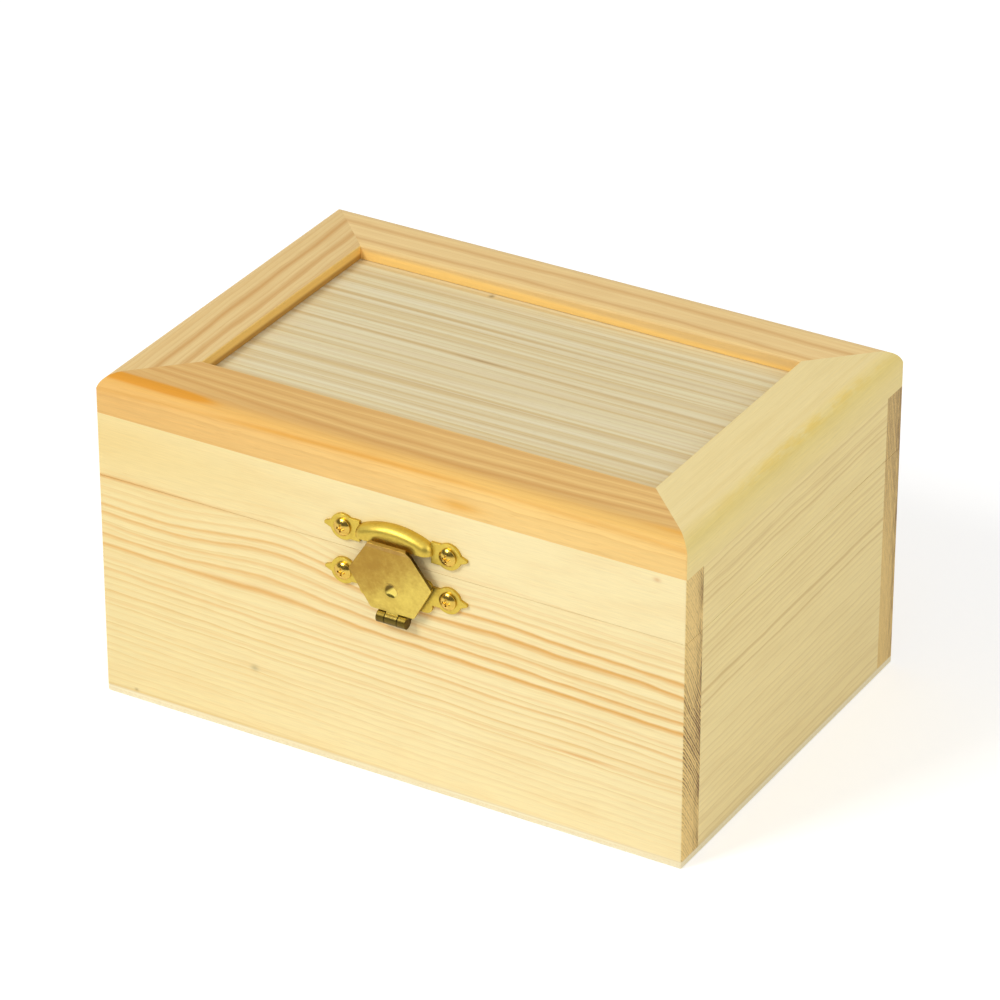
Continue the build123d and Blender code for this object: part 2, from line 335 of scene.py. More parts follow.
def fine_rings(ring, spacing):
    """Repeated thin lines, each of its own strength: slow rise, short stop."""
    turns = ring / spacing + ring_unevenness * noise(ring / (4 * spacing), 0.0, 0.0)
    number = turns.math("FLOOR", turns)
    share = turns - number
    draw = number.node("ShaderNodeTexWhiteNoise", {"noise_dimensions": "1D"}, {"W": number})
    line = share**ring_sharpness * (1 - rise(share, ring_stop, 1.0))
    return line * (weakest_ring + (1 - weakest_ring) * draw)


print("a ring stops at", ring_stop, "of its width")

# %% [markdown]
# Pine as a solid
#
# Every board of this box is pine. A flat picture of grain could cover each face, but then the sawn ends
# would not fit it. So a ring coordinate runs across the board. It leans through the board's depth,
# which draws the slanted lines on the sawn ends, and it is bent by a wave where the trunk had grown
# round something. Strong lines and fine rings are read off it, resin and fibres follow the grain, and
# marks such as specks and streaks are laid over the wood one after another.

# %% Pine
ring_drift = 1.4
ring_raggedness = 0.3
cloud_share = 0.10
resin_share = 0.22
wood_relief = 0.03


def pine(
    name,
    axes,
    ground,
    late,
    lines,
    faint,
    fine=None,
    spacing=2.0,
    lean=0.0,
    wave=None,
    gain=None,
    marks=(),
    fall=0.4,
):
    """A board's finish. axes sorts x, y and z into along the grain, up the face and into the board.
    Strong lines take the tone late. The fine rings between them take the tone fine, and faint says how
    strong they are at which height. gain says how strong the strong lines are along the board."""
    material, x, y, z = new_finish(name)
    along, height, depth = axes(x, y, z)

    def streaks(length, width, detail=2.0, roughness=0.5):
        """Noise in streaks of a length along the grain and a width across it."""
        return noise(along / length, height / width, depth / width, detail, roughness)

    drift = ring_drift * (streaks(20.0, 8.0) - 0.5)
    ragged = ring_raggedness * (streaks(5.0, 0.45) - 0.5)
    ring = height + lean * depth + drift + ragged
    if wave:
        ring = ring - wave(along, height)
    fine_share = fine_rings(ring, spacing) * ramp(height, faint)
    strong_share = bands(ring, lines, fall)
    if gain:
        strong_share = strong_share * gain(along)
    late_share = (fine_share + strong_share).at_most(1.0)
    colour = mix(fine_share, ground(along, height), fine or late)
    colour = mix(strong_share, colour, late)
    cloud = rise(streaks(22.0, 5.0), 0.42, 0.72)
    colour = mix(cloud_share * cloud, colour, late)
    resin = rise(streaks(5.0, 0.22, 1.0), 0.66, 0.76)
    colour = mix(resin_share * resin, colour, late)
    wood = SimpleNamespace(along=along, height=height, depth=depth, ring=ring, late=late_share)
    for mark in marks:
        colour = mark(colour, wood)
    fibre = streaks(12.0, 0.36, 3.0, 0.6)
    thread = streaks(4.0, 0.125, 1.0)
    colour = mix(1.0, colour, 0.85 + 0.17 * fibre + 0.13 * thread, "MULTIPLY")
    roughness = 0.54 + 0.16 * fibre - 0.08 * late_share
    relief = 0.4 * fibre + 0.25 * thread + 0.35 * late_share
    close_finish(colour, roughness, relief, wood_relief)
    return material


print("pine has a relief of", wood_relief, "mm")

# %% [markdown]
# Marks on the wood
#
# Real boards carry specks, short streaks and, at the joints, the sawn ends of the fibres. An end drinks
# dust and oil, so it is browner than the face, and its rings show as close slanted lines. Each mark
# could be a material of its own with an edge to hide. As functions that take the colour so far and give
# the next one, marks fade into the wood and can be stacked on any board.

# %% Marks
half_length = mm_per_metre * cad_high.x
hatch_spacing = 1.1
rim_reach = 2.4


def spot(along, height, length, width, tone, strength):
    """A mark: a soft streak or speck of another tone, with its half length and half width."""

    def mark(colour, wood):
        share = bell(wood.along, along, length) * bell(wood.height, height, width)
        return mix(strength * share, colour, tone)

    return mark


def sawn_ends(tone, dark, hatched, reach, dark_side):
    """A mark: the sawn ends of a board. Close rings hatch them about the height hatched, as far as
    reach, and they are darkest about the depth dark_side."""

    def mark(colour, wood):
        sawn = rise(abs(wood.along), half_length - 0.35, half_length - 0.1)
        speckle = noise(wood.ring / 0.77, wood.depth / 0.62, wood.height / 3, 3.0, 0.7)
        close = 0.2 + bell(wood.height, hatched, reach)
        hatch = fine_rings(wood.ring, hatch_spacing) * close * rise(speckle, 0.25, 0.55)
        ragged = rise(noise(wood.depth, wood.height / 7, 0.0), 0.3, 0.7)
        rim = bell(wood.depth, dark_side, rim_reach) * ragged
        line = 0.3 * wood.late + 2.7 * hatch + 0.2 * rise(speckle, 0.4, 0.75) + 0.62 * rim
        return mix(sawn, colour, mix(line.at_most(1.0), tone, dark))

    return mark


print("half length", round(half_length, 2), "mm")

# %% [markdown]
# The lines of the front
#
# The front board is what one sees first. Its lines lie level on the left, swell up once beside the
# catch, drop behind it and run down to the right, where they are strongest. Rings round a made-up trunk
# would bend in their own way, so the lines are listed by height and a wave lifts them where the real
# ones rise.

# %% Lines of the front
half_depth = -mm_per_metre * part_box("front_board")[0].y
seam_height = mm_per_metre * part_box("front_board")[1].z
swelling_height = 3.9
shelf_height = 2.2
front_slope = 0.03
front_lines = [
    (19.5, 0.16, 0.8),
    (24.6, 0.30, 0.8),
    (27.2, 0.18, 0.8),
    (32.6, 0.62, 0.9),
    (35.4, 0.30, 0.8),
    (39.1, 1.00, 1.4),
    (41.7, 0.95, 1.0),
    (44.1, 0.60, 0.9),
    (47.1, 1.00, 1.1),
    (49.4, 0.95, 1.0),
    (51.8, 0.40, 0.8),
    (53.9, 0.34, 0.8),
    (55.6, 0.24, 0.8),
    (58.3, 0.14, 0.8),
]
front_faint = [(0.0, 0.25), (12.0, 0.55), (18.0, 0.9), (34.0, 0.9), (52.0, 0.7), (58.0, 0.06)]


def front_wave(along, height):
    """How far the front's lines are lifted: a slope down to the right, a swelling left of the catch
    and a shelf right of it."""
    swelling = rise(along, -62.0, -26.0) * (1 - rise(along, -26.0, 6.0)) * rise(height, 33.0, 51.0)
    shelf = rise(along, -20.0, 30.0) * rise(height, 38.0, 50.0)
    return swelling_height * swelling + shelf_height * shelf - front_slope * (along + 72.0)


def front_gain(along):
    """The strong lines are fainter on the left."""
    return 0.72 + 0.28 * rise(along, -35.0, 40.0)


print(len(front_lines), "lines on the front, half depth", round(half_depth, 2), "mm")

# %% [markdown]
# The front
#
# The lid was sawn off the closed box after gluing, so the strip above the seam is the same piece of
# wood as the board below it. Two finishes could be matched by eye, but one finish for both keeps every
# line running across the cut. Painted shade draws the seam as a soft brown line that closes towards
# the right.


# %% Front
def tones_along(*stops):
    """The pale ground of a board, as tones at places along it."""
    return lambda along, height: ramp(along, stops)


pine_late = (227, 168, 76)
front_marks = [
    # A darker cloud at the upper left, and painted shade in the seam where it is open.
    spot(-84.0, 66.0, 60.0, 10.0, (238, 206, 128), 0.55),
    spot(-84.0, seam_height, 42.0, 0.55, (224, 166, 84), 0.8),
    # Two orange streaks and a grey speck.
    spot(-36.0, 39.0, 13.0, 0.8, (228, 172, 90), 0.5),
    spot(50.0, 21.1, 8.0, 0.35, (226, 160, 76), 0.6),
    spot(-34.5, 18.2, 1.0, 0.8, (160, 148, 108), 0.45),
    # The glue joint over the bottom, a brown dot on it and one at the upper right.
    spot(-60.0, 2.2, 60.0, 0.4, (222, 186, 110), 0.5),
    spot(-67.0, 2.6, 0.5, 0.35, (140, 104, 60), 0.5),
    spot(67.8, 70.8, 0.9, 0.6, (214, 156, 92), 0.5),
    sawn_ends((247, 212, 134), (114, 74, 14), hatched=31.0, reach=13.0, dark_side=7.5),
]
front_pine = pine(
    "front_pine",
    lambda x, y, z: (x, z, y + half_depth),
    tones_along((-75.0, (245, 224, 163)), (15.0, (251, 232, 176))),
    pine_late,
    front_lines,
    front_faint,
    fine=(229, 190, 112),
    spacing=1.75,
    lean=1.5,
    wave=front_wave,
    gain=front_gain,
    marks=front_marks,
)
dress(front_pine, "front_board", "lid_front_strip")

# %% [markdown]
# The back
#
# The back is another board of the same kind, seen only from behind and by its sawn ends. It could
# borrow the front's finish, but two boards of a real box never match, so it has wider rings, its own
# lines and one low arch in the middle. The rings lean steeply, which hatches its ends.

# %% Back
back_lines = [
    (12.0, 0.4, 1.2),
    (21.0, 0.6, 1.3),
    (29.0, 0.5, 1.4),
    (36.5, 0.7, 1.5),
    (47.0, 0.5, 1.3),
    (55.0, 0.3, 1.2),
    (63.0, 0.4, 1.3),
]
back_pine = pine(
    "back_pine",
    lambda x, y, z: (x, z, half_depth - y),
    tones_along((-75.0, (250, 229, 171)), (75.0, (248, 225, 166))),
    pine_late,
    back_lines,
    [(0.0, 0.25), (30.0, 0.4), (60.0, 0.3), (80.0, 0.2)],
    spacing=2.4,
    lean=-5.0,
    wave=lambda along, height: 5.0 * bell(along, 12.0, 46.0),
    marks=[sawn_ends((242, 207, 130), (102, 60, 20), hatched=66.0, reach=22.0, dark_side=0.0)],
)
dress(back_pine, "back_board", "lid_back_strip")

# %% [markdown]
# The two ends
#
# The ends come from a straighter, yellower board: fine level lines, one stronger one a little above the
# middle on the right, and a plain lower half. They could be the front's wood turned round, but the
# quiet grain is what sets them apart, so they are the same kind of solid with the grain along Y and
# fainter lines.


# %% Ends
def tones_across(*stops):
    """The pale ground of a board, as tones at heights across it."""
    return lambda along, height: ramp(height, stops)


end_late = (200, 158, 82)
end_ground = tones_across((0.0, (250, 228, 164)), (74.0, (250, 227, 158)))
right_lines = [
    (5.1, 0.15, 0.8),
    (8.6, 0.25, 0.8),
    (18.0, 0.25, 0.8),
    (38.4, 0.30, 0.8),
    (41.6, 0.62, 0.9),
    (50.1, 0.30, 0.8),
    (52.8, 0.30, 0.8),
    (64.0, 0.32, 0.8),
    (67.2, 0.40, 0.8),
    (71.0, 0.28, 0.8),
]
right_pine = pine(
    "right_end_pine",
    lambda x, y, z: (y, z, half_length - x),
    end_ground,
    end_late,
    right_lines,
    [(0.0, 0.36), (28.0, 0.42), (38.0, 0.55), (70.0, 0.55)],
    spacing=1.5,
    lean=0.3,
    wave=lambda along, height: 0.014 * along,
    marks=[spot(0.0, 2.3, 80.0, 0.45, (190, 160, 90), 0.35)],
)
left_pine = pine(
    "left_end_pine",
    lambda x, y, z: (y, z, x + half_length),
    end_ground,
    end_late,
    [(11.0, 0.4, 1.0), (26.5, 0.5, 1.1), (33.0, 0.6, 1.2), (51.0, 0.4, 1.0), (64.0, 0.5, 1.0)],
    [(0.0, 0.3), (30.0, 0.45), (70.0, 0.35)],
    spacing=1.9,
    lean=-0.5,
    wave=lambda along, height: 1.8 * bell(along, -12.0, 24.0),
)
dress(right_pine, "right_end_board", "lid_right_strip")
dress(left_pine, "left_end_board", "lid_left_strip")

# %% [markdown]
# The frame of the lid
#
# Four lengths of moulding, mitred at the corners, make the frame round the panel. Each could have a
# finish for its face and another for its top. Here it is pine again, and the height across the moulding
# starts at the foot of the outer face, turns over the rounded edge and goes on over the flat top, so
# that one list of lines does for all of it. The wall down to the panel is more golden, with a painted
# shadow in the corner at its foot.

# %% Moulding tools
moulding_low, moulding_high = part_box("lid_front_moulding")
moulding_top = mm_per_metre * moulding_high.z
moulding_width = mm_per_metre * (moulding_high.y - moulding_low.y)
moulding_fall = 0.9
face_share = 0.6
face_start = 6.0
wall_top = moulding_width + face_start
wall_share = 0.8
# Tones of the painted shadow at the wall's foot and of the painted shade above the wall.
foot_shadow_tone = (176, 126, 44)
painted_shade_above_wall = (226, 190, 124)


def moulding_axes(along, inward):
    """Axes of a moulding: along it, across it from the foot of its outer face, and in from its wall."""

    def axes(x, y, z):
        distance = inward(x, y)
        across = distance - face_share * (moulding_top - z) + face_start
        return along(x, y), across, moulding_width - distance

    return axes


def inner_wall(tone, foot_shadow=0.1, narrows=0.0):
    """A mark: the wall round the panel, with a painted shadow in the corner at its foot. Its golden part
    can narrow towards the end of the wall, and painted shade makes the wood above it duller there."""

    def mark(colour, wood):
        wall = 1 - rise(wood.depth, 0.1, 0.35)
        foot = wall * (1 - rise(wood.height, wall_top - 1.5, wall_top - 0.9))
        if narrows:
            top = wall_top - 0.45 * narrows - 0.55 * narrows * rise(wood.along, -45.0, 55.0)
            above = rise(wood.height, top - 0.35, top + 0.35)
            # Painted shade dulls the wood above the narrowed golden wall.
            colour = mix(wall_share * wall * above, colour, painted_shade_above_wall)
            wall = wall * (1 - above)
        # The golden wall, with a painted shadow in the corner at its foot.
        return mix(foot_shadow * foot, mix(wall_share * wall, colour, tone), foot_shadow_tone)

    return mark


print("mouldings", round(moulding_width, 2), "mm wide, top at", round(moulding_top, 2), "mm")

# %% [markdown]
# The front moulding
#
# The front moulding is the most orange of the four, with wide soft bands that sag in the middle, a
# resin streak at its left end and a thin orange line where the face turns. A stain over the whole
# moulding would look painted. The ground therefore changes across and along it, and the streaks are
# marks of their own.

# %% Front moulding
front_moulding_left = [
    (0.0, (233, 186, 108)),
    (4.0, (234, 186, 108)),
    (6.5, (231, 178, 85)),
    (9.6, (221, 173, 99)),
    (13.0, (230, 187, 112)),
]
front_moulding_right = [
    (0.0, (248, 208, 130)),
    (4.0, (250, 209, 129)),
    (6.5, (238, 190, 97)),
    (9.6, (227, 182, 105)),
    (13.0, (242, 200, 123)),
]
band_sag = 0.0008
streak_slope = 0.014
line_arch = 0.00025


def front_moulding_ground(along, height):
    """Paler towards the right, more orange where the face turns and browner on the rounded edge."""
    left = ramp(height, front_moulding_left)
    return mix(rise(along, -75.0, 45.0), left, ramp(height, front_moulding_right))


def front_moulding_wave(along, height):
    """The bands of the front moulding sag in the middle, the outer ones most."""
    sag = band_sag * (along - 12.0) * (along - 12.0) - 0.4
    return sag * rise(height, 6.0, 11.0) * (1 - rise(height, 12.0, 24.0))


def end_streak(colour, wood):
    """A mark: the resin streak at the left end, blunt at the end and pointed inwards."""
    outwards = streak_slope * (wood.along + half_length)
    share = (1 - rise(wood.along, -58.0, -36.0)) * bell(wood.height + outwards, 8.8, 1.5)
    return mix(rise(share, 0.12, 0.6), colour, (222, 150, 30))


def orange_line(colour, wood):
    """A mark: the thin line where the face turns into the rounded edge, strongest left of the middle."""
    arch = line_arch * (wood.along - 10.0) * (wood.along - 10.0)
    wander = wood.height + arch + 0.5 * noise(wood.along / 30, 4.0, 0.0) - 0.25
    towards_left = 0.25 + 0.5 * rise(wood.along, -50.0, -25.0)
    strength = towards_left * (1 - 0.5 * rise(wood.along, 5.0, 30.0))
    return mix(strength * bell(wander, 5.8, 0.6), colour, (222, 154, 36))


front_moulding = pine(
    "front_moulding_pine",
    moulding_axes(lambda x, y: x, lambda x, y: y + half_depth),
    front_moulding_ground,
    (204, 142, 56),
    [(11.3, 0.6, 1.7), (14.9, 0.6, 1.7), (18.9, 0.42, 1.6), (22.0, 0.5, 1.6)],
    [(0.0, 0.3), (8.0, 0.35), (11.0, 0.45), (20.0, 0.45)],
    spacing=1.3,
    wave=front_moulding_wave,
    marks=[
        orange_line,
        end_streak,
        spot(19.0, 1.8, 5.5, 0.75, (236, 174, 70), 0.85),
        spot(72.0, 8.9, 8.0, 0.8, (230, 166, 58), 0.7),
        inner_wall((236, 192, 108)),
    ],
    fall=moulding_fall,
)
dress(front_moulding, "lid_front_moulding")

# %% [markdown]
# The left and the back moulding
#
# These two are streaked like the front one but paler, and their lines lie at nearly the same distances
# from the edge, so that they meet at the mitres. One finish could run round all the corners, but then
# the grain would bend there, and mitred wood never does. Each moulding is its own wood with the grain
# along it.

# %% Left and back mouldings
left_moulding = pine(
    "left_moulding_pine",
    moulding_axes(lambda x, y: y, lambda x, y: x + half_length),
    tones_across((0.0, (237, 201, 130)), (12.0, (236, 204, 139)), (24.0, (236, 204, 140))),
    (204, 146, 60),
    [(10.4, 0.12, 1.0), (14.7, 0.75, 1.4), (19.4, 0.65, 1.4), (23.4, 0.35, 1.0)],
    [(0.0, 0.3), (8.0, 0.45), (20.0, 0.5)],
    spacing=1.3,
    wave=lambda along, height: -0.026 * along,
    # A deep painted shadow at the foot of the left wall.
    marks=[inner_wall((248, 202, 100), foot_shadow=0.9)],
    fall=moulding_fall,
)
back_moulding = pine(
    "back_moulding_pine",
    moulding_axes(lambda x, y: x, lambda x, y: half_depth - y),
    tones_across(
        (0.0, (244, 210, 138)),
        (12.0, (245, 212, 146)),
        (20.0, (245, 212, 146)),
        (23.0, (253, 217, 144)),
    ),
    (206, 150, 70),
    [(13.5, 0.58, 1.6), (16.6, 0.1, 1.0), (20.1, 0.58, 1.5)],
    [(0.0, 0.25), (8.0, 0.35), (20.0, 0.4)],
    spacing=1.4,
    wave=lambda along, height: 1.4 * rise(along, 15.0, 70.0),
    marks=[inner_wall((255, 212, 120), narrows=1.4)],
    fall=moulding_fall,
)
dress(left_moulding, "lid_left_moulding")
dress(back_moulding, "lid_back_moulding")

# %% [markdown]
# The right moulding
#
# The right moulding is pale and nearly plain, with patches of yellower wood along its rounded edge. A
# single tone would do from far away. The patches come from noise held to the edge by a bell, because
# their outlines have no order that could be listed.


# %% Right moulding
def yellow_edge(colour, wood):
    """A mark: patches of yellower wood along the rounded edge."""
    patch = rise(noise(wood.along / 7, wood.height / 2.2, 0.0, 3.0, 0.6), 0.36, 0.62)
    middle = bell(wood.along, 8.0, 38.0)
    return mix(0.62 * patch * middle * bell(wood.height, 7.4, 1.7), colour, (244, 208, 92))


right_moulding = pine(
    "right_moulding_pine",
    moulding_axes(lambda x, y: y, lambda x, y: half_length - x),
    tones_across((0.0, (247, 224, 154)), (6.0, (248, 224, 140)), (10.0, (244, 222, 158))),
    (220, 188, 104),
    [(12.0, 0.15, 1.6), (17.0, 0.12, 1.6)],
    [(0.0, 0.1), (20.0, 0.15)],
    spacing=2.2,
    marks=[yellow_edge, inner_wall((240, 212, 134))],
)
dress(right_moulding, "lid_right_moulding")

# %% [markdown]
# The lid's panel
#
# The panel is faced with quarter-cut veneer. Its streaks are dead straight, grey-beige and tan in turn,
# with a few brown hairlines. Rings could be cut along the radius for that, but stretched noise at two
# widths gives the small streaks far more simply, and the ones that one notices are listed.

# %% Panel
veneer_relief = 0.03
brown_streaks = [
    (-27.5, 0.30, 1.0),
    (-21.9, 0.42, 0.9),
    (-18.4, 0.28, 1.6),
    (-13.2, 0.46, 1.7),
    (-5.7, 0.35, 1.0),
    (-3.0, 0.24, 0.9),
    (0.6, 0.18, 0.9),
    (3.4, 0.52, 0.9),
    (6.0, 0.15, 0.8),
    (8.4, 0.38, 1.2),
    (14.8, 0.22, 1.6),
    (17.5, 0.54, 1.1),
    (22.7, 0.15, 1.0),
    (27.2, 0.40, 0.9),
]
pale_streaks = [
    (-23.5, 0.5, 1.3),
    (-20.2, 0.5, 0.8),
    (-15.9, 0.6, 1.0),
    (-9.0, 0.5, 2.2),
    (-4.4, 0.3, 0.7),
    (-1.3, 0.6, 1.5),
    (2.0, 0.4, 1.0),
    (4.8, 0.5, 0.7),
    (7.1, 0.2, 0.7),
    (11.0, 0.2, 1.8),
    (16.0, 0.5, 0.8),
    (20.9, 0.6, 1.8),
    (28.5, 0.5, 0.9),
]


def straight_veneer(name):
    """Streaks along X: small ones from noise, pale and brown ones listed, a dash and a speck."""
    material, x, y, z = new_finish(name)
    wander = y + 0.5 * (noise(x / 60, 3.0, 0.0, 1.0) - 0.5)
    middling = noise(x / 160, wander / 2.2, 5.0, 1.0)
    fine = noise(x / 120, wander / 0.9, 9.0, 2.0, 0.55)
    streak = rise(0.35 * middling + 0.65 * fine, 0.38, 0.62)
    colour = mix(streak, (233, 220, 177), (221, 197, 142))
    colour = mix(0.6 * bands(wander, pale_streaks, 1.0), colour, (238, 228, 200))
    broken = 0.45 + 0.5 * noise(x / 26, wander, 2.0, 1.0)
    colour = mix(bands(wander, brown_streaks, 1.0) * broken, colour, (190, 146, 84))
    dash = bell(x, -7.0, 5.5) * bell(wander, 3.4, 0.4)
    colour = mix(0.4 * dash, colour, (140, 92, 46))
    speck = bell(x, -21.5, 0.6) * bell(y, 32.4, 0.7)
    colour = mix(0.65 * speck, colour, (116, 98, 66))
    pores = rise(noise(x / 3.0, y / 0.22, 1.0, 1.0), 0.62, 0.8)
    colour = mix(0.25 * pores, colour, (150, 116, 72))
    close_finish(colour, 0.55 + 0.15 * fine, fine - 0.6 * pores, veneer_relief)
    return material


dress(straight_veneer("panel_veneer"), "lid_panel")

# %% [markdown]
# The bottom
#
# The bottom is a sheet of thin plywood glued on from below. Its edge shows as a pale line under the
# walls, made of three plies with the middle one across the others, and its underside is plain veneer.
# Three stacked sheets could be modelled, but at two millimetres their height alone tells which ply one
# sees. The glue joint darkens the upper rim of the edge.

# %% Bottom
ply_blur = 0.05
lower_glue = 0.65
upper_glue = 1.35
joint_start = 1.5
sheet_top = 2.0


def thin_plywood(name):
    """Three plies by height, with fine fibre along X in the outer two."""
    material, x, y, z = new_finish(name)
    fibre = noise(x / 12, y / 0.55, z / 0.33, 3.0, 0.6)
    speckle = noise(x / 0.67, y / 0.67, z / 0.5, 2.0, 0.6)
    over_lower = rise(z, lower_glue - ply_blur, lower_glue + ply_blur)
    middle = over_lower * (1 - rise(z, upper_glue - ply_blur, upper_glue + ply_blur))
    face = mix(rise(fibre, 0.3, 0.7), (252, 242, 208), (246, 230, 188))
    core = mix(rise(speckle, 0.3, 0.7), (248, 234, 194), (238, 218, 170))
    colour = mix(0.7 * middle, face, core)
    outer_x = rise(abs(x), half_length - 0.6, half_length - 0.3)
    outer_y = rise(abs(y), half_depth - 0.6, half_depth - 0.3)
    joint = rise(z, joint_start, sheet_top) * outer_x.at_least(outer_y)
    colour = mix(0.4 * joint, colour, (216, 184, 116))
    close_finish(colour, 0.6 + 0.12 * fibre, fibre, veneer_relief)
    return material


dress(thin_plywood("bottom_plywood"), "bottom_panel")

# %% [markdown]
# Brass
#
# The catch and the hinges are stamped from brass sheet, a little stained and scratched. A plain yellow
# metal would look like plastic here. So its tone varies between clean and tarnished, its roughness
# follows the stains and fine scratches, and a small bevel in the shading lets the stamped edges catch
# the light.

# %% Brass
brass_relief = 0.02
edge_round = 0.16
# The tone of the painted shade and of the darker barrel.
darkening_tone = (58, 42, 14)


def brass(name, clean, tarnished, tarnish_and_reflection, smooth, rough, darkening=None, mottle=0.35, shine_and_highlight=None):
    """Stamped brass. Three functions of the place say how much tarnish it has, with any painted
    reflection, how much darker it is, partly as painted shade, and how much smoother it is, with a
    painted highlight.
    """
    material, x, y, z = new_finish(name)
    cloud = noise(x / 2.4, y / 2.4, z / 2.4, 4.0, 0.65)
    scratch = noise(x / 0.14, y / 0.5, z / 1.1, 3.0, 0.7)
    grime = noise(x / 0.7, y / 0.7, z / 0.7, 3.0, 0.6)
    share = mottle * (cloud - 0.5) + 0.3 * (grime - 0.5) + tarnish_and_reflection(x, y, z)
    colour = mix(rise(share, 0.0, 1.0), clean, tarnished)
    # Darker there, partly as painted shade.
    if darkening:
        colour = mix(darkening(x, y, z), colour, darkening_tone)
    roughness = smooth + (rough - smooth) * rise(0.6 * cloud + 0.4 * scratch, 0.3, 0.7)
    # Smoother there, with a painted highlight in the clean tone.
    if shine_and_highlight:
        roughness = roughness * (1 - 0.6 * shine_and_highlight(x, y, z))
        colour = mix(shine_and_highlight(x, y, z), colour, clean)
    relief = 0.5 * scratch + 0.5 * grime
    close_finish(colour, roughness, relief, brass_relief, metallic=1.0, edge=edge_round)
    return material


print("brass edges are rounded by", edge_round, "mm in the shading")

# %% [markdown]
# The flap of the catch
#
# The flap has a satin face, with a painted reflection that makes it browner at its upper left and
# yellower towards the lower right. The barrel is darker up to just above it, painted shade darkens the
# upper left half of the dimple and the cut edge at the upper right, and the other half of the dimple is
# smoother, with a painted highlight. All that could be lit into place with lamps, but it would then
# change with every pose, so it is painted on the metal itself, measured from the pin.

# %% Flap
pin_low, pin_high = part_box("catch_pin")
dimple_above_pin = 7.4
barrel_wall = 0.85
dimple_x = mm_per_metre * (pin_low.x + pin_high.x) / 2
dimple_z = mm_per_metre * (pin_low.z + pin_high.z) / 2 + dimple_above_pin
dimple_edge = (1.3, 1.8)
barrel_top = mm_per_metre * pin_high.z + barrel_wall


def flap_tarnish_and_reflection(x, y, z):
    """Tarnish as on the plates, and a painted reflection that makes the flap browner at its upper left
    and yellower at its lower right.
    """
    across = 0.6 * (x - dimple_x) - 0.8 * (z - dimple_z)
    return 0.91 - 0.55 * rise(across, -10.0, 5.0)


def barrel_darkening(x, y, z):
    """Darker on the barrel, up to just above it."""
    return 0.85 * (1 - rise(z, barrel_top - 0.6, barrel_top + 0.4))


def dimple_parts(x, z):
    """Two shares: inside the dimple, and towards its upper left."""
    aside = x - dimple_x
    above = z - dimple_z
    inside = 1 - rise((aside * aside + above * above) ** 0.5, *dimple_edge)
    return inside, rise(0.6 * above - 0.5 * aside, -0.1, 0.6)


def flap_darkening(x, y, z):
    """Darker on the barrel, and painted shade in the upper left of the dimple and on the cut edge at the
    upper right.
    """
    inside, corner = dimple_parts(x, z)
    facing = x.node("ShaderNodeTexCoord", output="Normal")
    facing_x = x.node("ShaderNodeSeparateXYZ", {}, {0: facing})
    # Painted shade on the cut edge that faces up and to the right.
    cut_edge = rise(facing_x, 0.4, 0.6) * rise(facing_x.beside("Z"), 0.2, 0.4) * (1 - inside)
    return barrel_darkening(x, y, z) + 0.8 * inside * corner + 0.8 * cut_edge


def dimple_highlight(x, y, z):
    """The lower right half of the dimple: smoother, with a painted highlight."""
    inside, corner = dimple_parts(x, z)
    return inside * (1 - corner)


flap_brass = brass(
    "satin_brass",
    clean=(224, 202, 100),
    tarnished=(164, 128, 54),
    tarnish_and_reflection=flap_tarnish_and_reflection,
    smooth=0.28,
    rough=0.44,
    darkening=flap_darkening,
    mottle=0.6,
    shine_and_highlight=dimple_highlight,
)
dress(flap_brass, "catch_flap")

# %% [markdown]
# Plates, screws and hinges
#
# The plates of the catch are brighter than the flap, the round screw heads are nearly polished, and the
# hinges at the back lie between. They could share one finish, but hands wear each of them differently.
# The metal is the same function with other tones, an even tarnish and another roughness.


# %% Plates, screws and hinges
def even_stain(level):
    """The same share of tarnish everywhere."""
    return lambda x, y, z: level


plate_brass = brass(
    "plate_brass",
    clean=(223, 198, 88),
    tarnished=(166, 126, 44),
    tarnish_and_reflection=even_stain(0.36),
    smooth=0.33,
    rough=0.48,
    # Darker on the base plate's barrel.
    darkening=barrel_darkening,
)
screw_brass = brass(
    "screw_brass",
    clean=(230, 198, 96),
    tarnished=(160, 112, 36),
    tarnish_and_reflection=even_stain(0.4),
    smooth=0.14,
    rough=0.28,
)
hinge_brass = brass(
    "hinge_brass",
    clean=(228, 204, 116),
    tarnished=(166, 128, 60),
    tarnish_and_reflection=even_stain(0.4),
    smooth=0.2,
    rough=0.38,
)
hinge_pieces = [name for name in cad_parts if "hinge" in name]
dress(plate_brass, "catch_keeper", "catch_base_plate", "catch_pin")
dress(screw_brass, "catch_keeper_screws", "catch_base_screws")
dress(hinge_brass, *hinge_pieces)

# %% [markdown]
# The floor
#
# The box stands on plain white paper that keeps its soft shadow. More light would make the paper white
# but would burn out the pale wood as well. So the paper glows a little, but only for rays that come from
# the camera or off something glossy: it looks white, the brass mirrors it as white, and its glow throws
# no light on the wood.

# %% Floor
floor_reach = 3.0
floor_lift = 0.42
paper_colour = (0.86, 0.86, 0.86, 1.0)


def light_path(root):
    """Two sockets: 1 for rays of the camera or through glass, and 1 for rays off something glossy."""
    camera_ray = root.node("ShaderNodeLightPath", output="Is Camera Ray")
    seen = camera_ray.at_least(camera_ray.beside("Is Transmission Ray"))
    return seen, camera_ray.beside("Is Glossy Ray")


corners = [(-1, -1), (1, -1), (1, 1), (-1, 1)]
floor_corners = [(x * floor_reach, y * floor_reach, 0.0) for x, y in corners]
floor_mesh = bpy.data.meshes.new("floor")
floor_mesh.from_pydata(floor_corners, [], [(0, 1, 2, 3)])
floor = bpy.data.objects.new("floor", floor_mesh)
bpy.context.scene.collection.objects.link(floor)

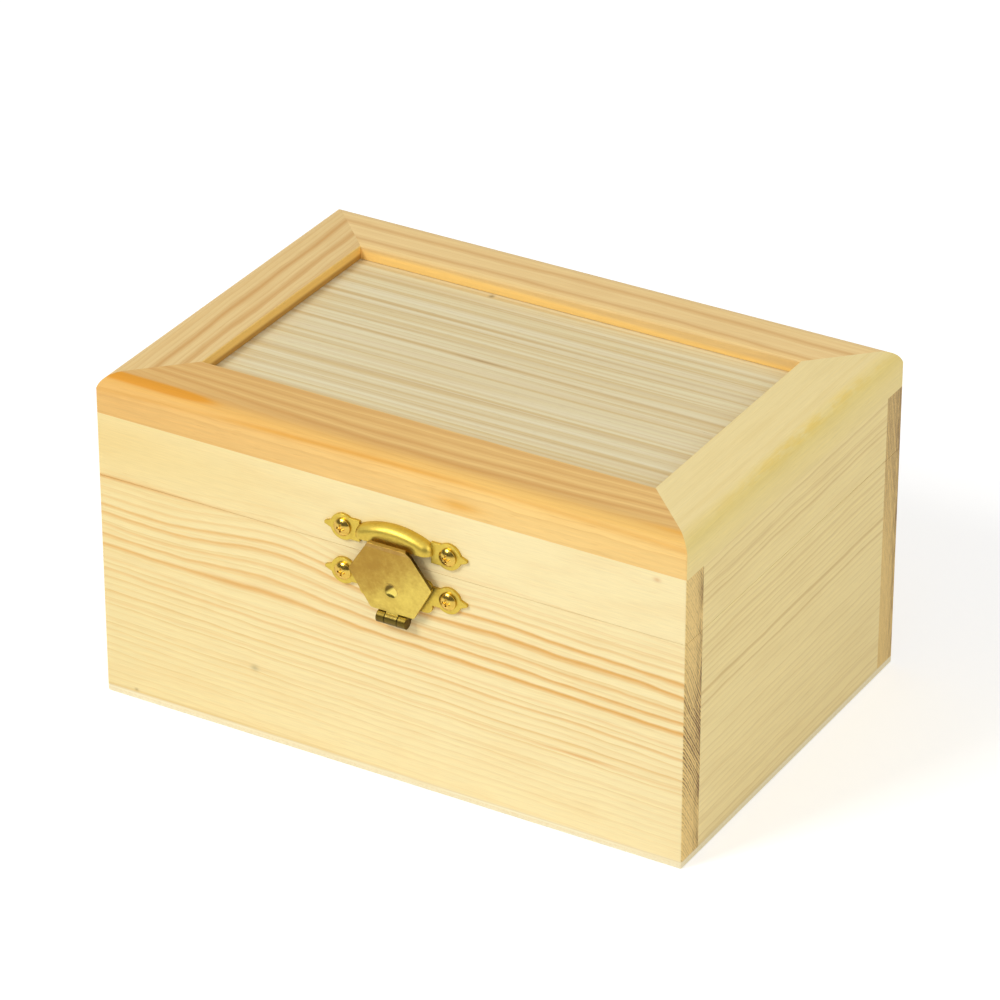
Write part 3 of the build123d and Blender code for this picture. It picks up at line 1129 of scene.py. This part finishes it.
floor_finish = bpy.data.materials.new("white_floor")
floor_finish.use_nodes = True
floor_finish.node_tree.nodes.clear()
floor_root = Socket(floor_finish.node_tree)
floor_seen, floor_glossy = light_path(floor_root)
paper = floor_root.node("ShaderNodeBsdfDiffuse", {}, {"Color": paper_colour})
glow_strength = floor_lift * (floor_seen + floor_glossy)
glow = floor_root.node("ShaderNodeEmission", {}, {"Strength": glow_strength})
floor_sum = floor_root.node("ShaderNodeAddShader", {}, {0: paper, 1: glow})
floor_root.node("ShaderNodeOutputMaterial", {}, {"Surface": floor_sum})
floor_mesh.materials.append(floor_finish)
print("floor", 2 * floor_reach, "m wide")

# %% [markdown]
# The surroundings
#
# Polished metal shows what stands around it: white paper behind and above, and the dark half of the
# room behind the camera, which draws the dark lines that make brass look like brass. Cards could be
# stood round the box for that. A world whose brightness depends on the kind of ray does the same with
# nothing in the way.

# %% Surroundings
ambient_level = 0.5
room_darkness = 0.85
white = (1.0, 1.0, 1.0, 1.0)

world = bpy.data.worlds.new("white_surroundings")
bpy.context.scene.world = world
world.use_nodes = True
world.node_tree.nodes.clear()
world_root = Socket(world.node_tree)
world_seen, world_glossy = light_path(world_root)
look = world_root.node("ShaderNodeTexCoord", output="Generated")
look_x = world_root.node("ShaderNodeSeparateXYZ", {}, {0: look})
dark_room = rise(-look_x.beside("Y"), 0.1, 0.5) * (1 - rise(look_x.beside("Z"), 0.45, 0.75))
mirrored = 1 - room_darkness * dark_room
level = ambient_level + (1 - ambient_level) * world_seen + (mirrored - ambient_level) * world_glossy
sky = world_root.node("ShaderNodeBackground", {}, {"Color": white, "Strength": level})
world_root.node("ShaderNodeOutputWorld", {}, {"Surface": sky})
print("surroundings light the box at", ambient_level)

# %% [markdown]
# The lamps
#
# A box photographed for sale stands in soft light. A large lamp at the front left makes the front the
# brightest side, and a weaker one lights the right end. The sun would draw hard shadows under every
# screw, so both lamps are soft boxes, given by where they stand, how wide they are and how strong.

# %% Lamps
box_middle = Vector((0.0, 0.0, cad_high.z / 2))


def soft_lamp(name, azimuth, elevation, distance, size, watts):
    """A square soft box aimed at the middle of the box, with angles in degrees, lengths in metres."""
    data = bpy.data.lights.new(name, "AREA")
    data.size = size
    data.energy = watts
    lamp = bpy.data.objects.new(name, data)
    aim(lamp, direction(math.radians(azimuth), math.radians(elevation)), distance, box_middle)


soft_lamp("key_lamp", azimuth=-28.0, elevation=40.0, distance=1.3, size=0.42, watts=8.15)
soft_lamp("side_lamp", azimuth=80.0, elevation=30.0, distance=1.5, size=0.9, watts=4.2)
print(len(bpy.data.lights), "lamps")
